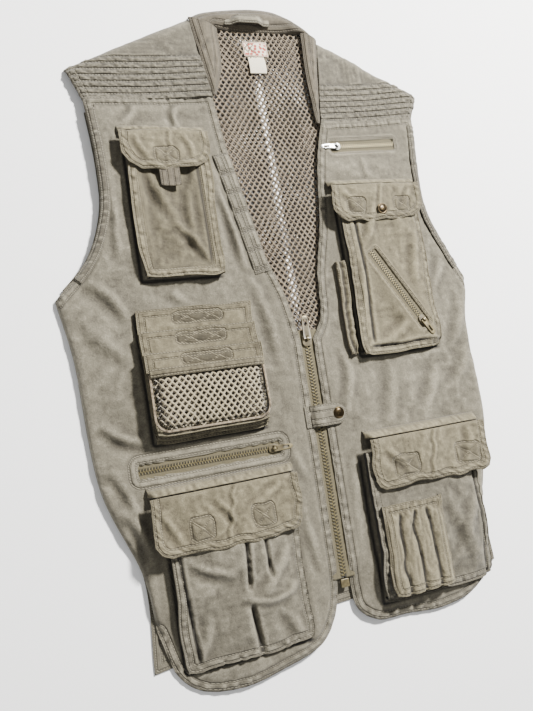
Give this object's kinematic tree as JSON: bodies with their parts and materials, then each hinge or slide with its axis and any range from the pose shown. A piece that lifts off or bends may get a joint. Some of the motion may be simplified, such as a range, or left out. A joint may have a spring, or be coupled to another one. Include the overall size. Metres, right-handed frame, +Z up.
{
  "type": "fishing vest",
  "caption": "Sleeveless multi-pocket fishing vest laid flat, with net upper back, zip front, flapped and zipped pockets, storm tab and quilted shoulders.",
  "frame": {"origin": "middle of the laid vest's footprint, on the plane that its rear rests on", "axes": "+X to the wearer's left, +Y from the hem to the neck, +Z up out of the front"},
  "size_m": [0.512, 0.7718, 0.0378],
  "materials": {
    "twill": "washed grey-khaki cotton twill, paler and puckered along its double-stitched seams",
    "net": "beige knitted diamond net with open holes",
    "lining": "plain light cotton pocket lining",
    "pad": "olive hook-and-loop tape, sewn round the edge and crossed",
    "label": "blank woven satin label",
    "zip_tape": "olive-brown herringbone tape with matching moulded teeth",
    "painted_zip": "tan-olive enamel, worn at the edges",
    "silver_zip": "bare bright nickel, lightly scratched",
    "brass": "dark antique brass with bright worn rims"
  },
  "bodies": {
    "vest": {"back_panel": "twill", "front_panel_right": "twill", "front_lower_right": "twill", "hip_facing_front": "twill", "hip_facing_side": "twill", "front_panel_left": "twill", "yoke_right": "twill", "yoke_left": "twill", "neckband_right": "twill", "neckband_left": "twill", "back_collar": "twill", "hanger_loop": "twill", "armhole_binding_right": "twill", "armhole_binding_left": "twill", "tool_strip": "twill", "chest_pocket_right": "twill", "tier_pocket_upper": "twill", "tier_pocket_middle": "twill", "tier_pocket_lower": "twill", "side_pocket_left": "twill", "channel_pocket_left": "twill", "lower_pocket_right": "twill", "lower_pocket_left": "twill", "bellows_pocket_left": "twill", "back_mesh": "net", "mesh_pocket": "net", "neck_label": "label", "care_label": "label", "hip_pocket_bag": "lining", "chest_pocket_bag": "lining", "chest_loop_pad_right": "pad", "tier_pad_upper": "pad", "tier_pad_middle": "pad", "tier_pad_lower": "pad", "flap_snap_stud": "brass", "tab_snap_stud": "brass", "hip_zip_tape": "zip_tape", "chest_zip_tape": "zip_tape", "slant_zip_tape": "zip_tape", "main_zip_tape_right": "zip_tape", "main_zip_tape_left": "zip_tape", "main_zip_box": "painted_zip"},
    "right_chest_flap": {"chest_flap_right": "twill", "chest_hook_pad_right": "pad", "flap_pull_loop": "twill"},
    "left_chest_flap": {"chest_flap_left": "twill", "flap_snap_cap": "brass"},
    "right_lower_flap": {"lower_flap_right": "twill"},
    "left_lower_flap": {"lower_flap_left": "twill"},
    "tab": {"storm_tab": "twill", "tab_snap_cap": "brass"},
    "main_slider": {"main_zip_slider": "painted_zip"},
    "main_pull": {"main_zip_pull": "painted_zip"},
    "hip_slider": {"hip_zip_slider": "painted_zip"},
    "hip_pull": {"hip_zip_pull": "painted_zip"},
    "chest_slider": {"chest_zip_slider": "silver_zip"},
    "chest_pull": {"chest_zip_pull": "silver_zip"},
    "slant_slider": {"slant_zip_slider": "painted_zip"},
    "slant_pull": {"slant_zip_pull": "painted_zip"}
  },
  "joints": [
    {"name": "main_zip_slide", "type": "slide", "parent": "vest", "child": "main_slider", "axis": [-0.0105, -0.9999, 0], "range_m": [0, 0.264]},
    {"name": "main_pull_hinge", "type": "hinge", "parent": "main_slider", "child": "main_pull", "pos_m": [0.017, -0.02806, 0.0128], "axis": [0.9999, -0.0105, 0], "range_deg": [0, 170]},
    {"name": "hip_zip_slide", "type": "slide", "parent": "vest", "child": "hip_slider", "axis": [-1, 0, 0], "range_m": [0, 0.142]},
    {"name": "hip_pull_hinge", "type": "hinge", "parent": "hip_slider", "child": "hip_pull", "pos_m": [-0.045, -0.14606, 0.0124], "axis": [0, -1, 0], "range_deg": [0, 170]},
    {"name": "chest_zip_slide", "type": "slide", "parent": "vest", "child": "chest_slider", "axis": [0.9994, 0.0349, 0], "range_m": [0, 0.074]},
    {"name": "chest_pull_hinge", "type": "hinge", "parent": "chest_slider", "child": "chest_pull", "pos_m": [0.1, 0.20694, 0.0124], "axis": [-0.0349, 0.9994, 0], "range_deg": [0, 170]},
    {"name": "slant_zip_slide", "type": "slide", "parent": "vest", "child": "slant_slider", "axis": [-0.515, 0.8572, 0], "range_m": [0, 0.096]},
    {"name": "slant_pull_hinge", "type": "hinge", "parent": "slant_slider", "child": "slant_pull", "pos_m": [0.171, -0.02306, 0.0237], "axis": [-0.8572, -0.515, 0], "range_deg": [0, 170]},
    {"name": "right_chest_flap_fold", "type": "hinge", "parent": "vest", "child": "right_chest_flap", "pos_m": [0.008, 0.22094, 0.02435], "axis": [-1, 0, 0], "range_deg": [0, 160]},
    {"name": "left_chest_flap_fold", "type": "hinge", "parent": "vest", "child": "left_chest_flap", "pos_m": [0.008, 0.15094, 0.02635], "axis": [-1, 0, 0], "range_deg": [0, 160]},
    {"name": "right_lower_flap_fold", "type": "hinge", "parent": "vest", "child": "right_lower_flap", "pos_m": [0.008, -0.17506, 0.02935], "axis": [-1, 0, 0], "range_deg": [0, 160]},
    {"name": "left_lower_flap_fold", "type": "hinge", "parent": "vest", "child": "left_lower_flap", "pos_m": [0.008, -0.15606, 0.02935], "axis": [-1, 0, 0], "range_deg": [0, 160]},
    {"name": "tab_fold", "type": "hinge", "parent": "vest", "child": "tab", "pos_m": [0.0062, -0.11856, 0.01205], "axis": [0, -1, 0], "range_deg": [0, 125]}
  ]
}
